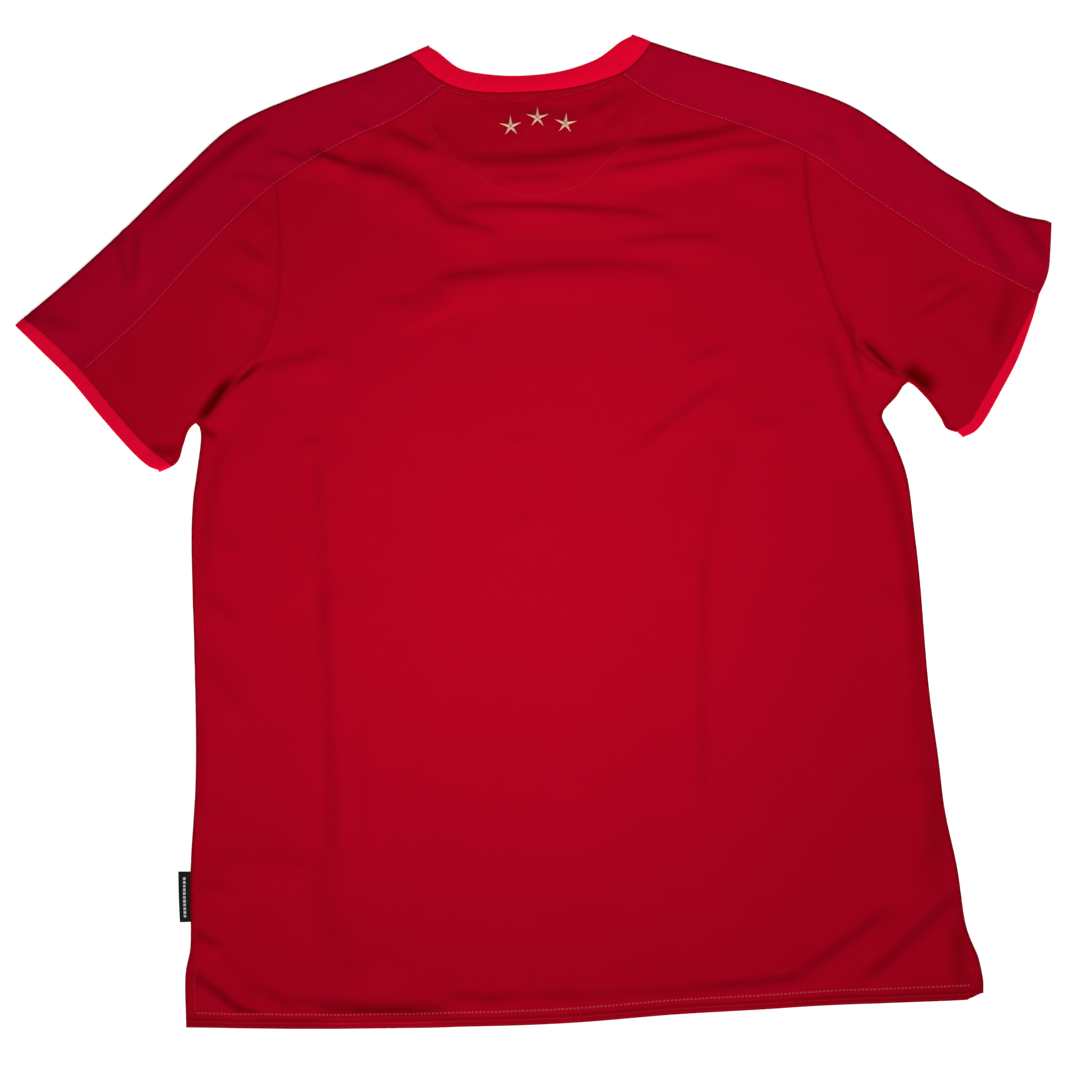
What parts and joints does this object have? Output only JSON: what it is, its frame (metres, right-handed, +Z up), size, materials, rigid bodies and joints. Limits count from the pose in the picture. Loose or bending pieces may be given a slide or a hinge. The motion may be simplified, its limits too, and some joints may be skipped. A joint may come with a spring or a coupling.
{
  "type": "football jersey laid flat",
  "caption": "Short-sleeved football jersey in crimson knit, laid flat with its back up, with bright red neck and sleeve bands, saddle shoulder panels and side vents.",
  "frame": {"origin": "middle of the laid shirt's outline, on the surface that it lies on", "axes": "+X across the shirt towards the wearer's right sleeve, +Y from the hem to the collar, +Z up from the surface, out of the shirt's back"},
  "size_m": [0.8058, 0.7679, 0.0056],
  "materials": {
    "crimson_knit": "fine matt polyester knit with a soft sheen",
    "shoulder_knit": "fine matt polyester knit, deeper and slightly purple",
    "bright_rib": "matt rib knit",
    "woven_label": "matt woven tape"
  },
  "bodies": {
    "root": {"back_panel": "crimson_knit", "front_panel": "crimson_knit", "shoulder_panel_left": "shoulder_knit", "shoulder_panel_right": "shoulder_knit", "sleeve_left": "crimson_knit", "sleeve_right": "crimson_knit", "cuff_left": "bright_rib", "cuff_right": "bright_rib", "collar_band": "bright_rib", "side_label": "woven_label"}
  },
  "joints": []
}
